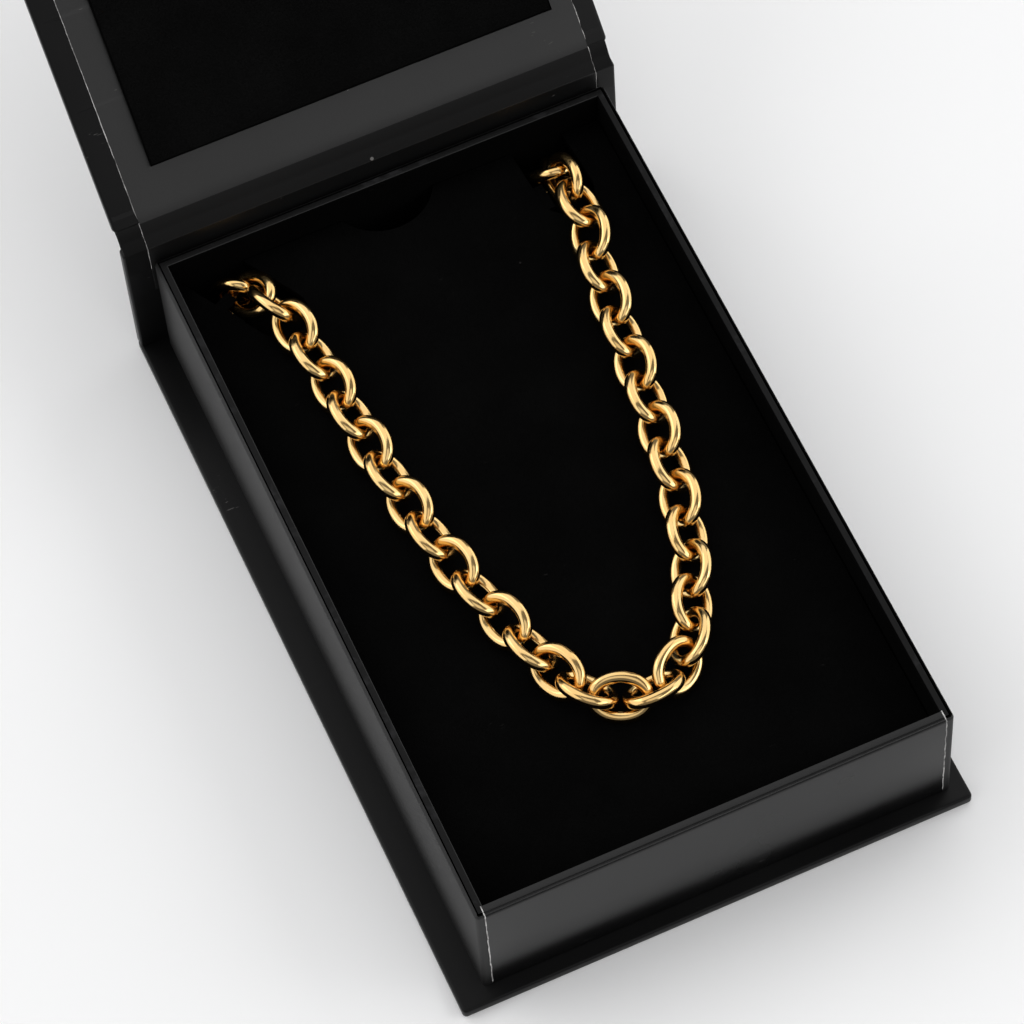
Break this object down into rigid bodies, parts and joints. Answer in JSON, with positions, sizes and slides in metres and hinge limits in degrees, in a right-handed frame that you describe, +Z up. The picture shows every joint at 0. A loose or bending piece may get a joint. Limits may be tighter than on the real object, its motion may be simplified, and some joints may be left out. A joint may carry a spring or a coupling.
{
  "type": "rolo chain necklace in a hinged gift box",
  "caption": "Rolo chain necklace of thick oval links lying in a U on the flocked bed of a rigid card box with a hinged lid.",
  "frame": {"origin": "middle of the box's underside, on the surface that it stands on", "axes": "+Z up, +Y to the hinge at the back, +X to the right seen from the front"},
  "size_m": [0.1, 0.2713, 0.1373],
  "materials": {
    "black_board": "card wrapped in matt black paper",
    "black_paper": "matt black paper",
    "bed_flock": "deep black flock on card",
    "pad_flock": "deep black flock on a thin pad",
    "gold": "polished gold plating"
  },
  "bodies": {
    "box": {"base_board": "black_board", "spine_board": "black_board", "tray": "black_board", "insert": "bed_flock", "chain_on_bed": "gold", "chain_under_bed": "gold", "clasp": "gold"},
    "lid": {"lid_board": "black_board", "lid_pad": "pad_flock", "hinge_paper": "black_paper"}
  },
  "joints": [
    {"name": "lid_hinge", "type": "hinge", "parent": "box", "child": "lid", "pos_m": [0, 0.0773, 0.03415], "axis": [1, 0, 0], "range_deg": [-51, 139]}
  ]
}
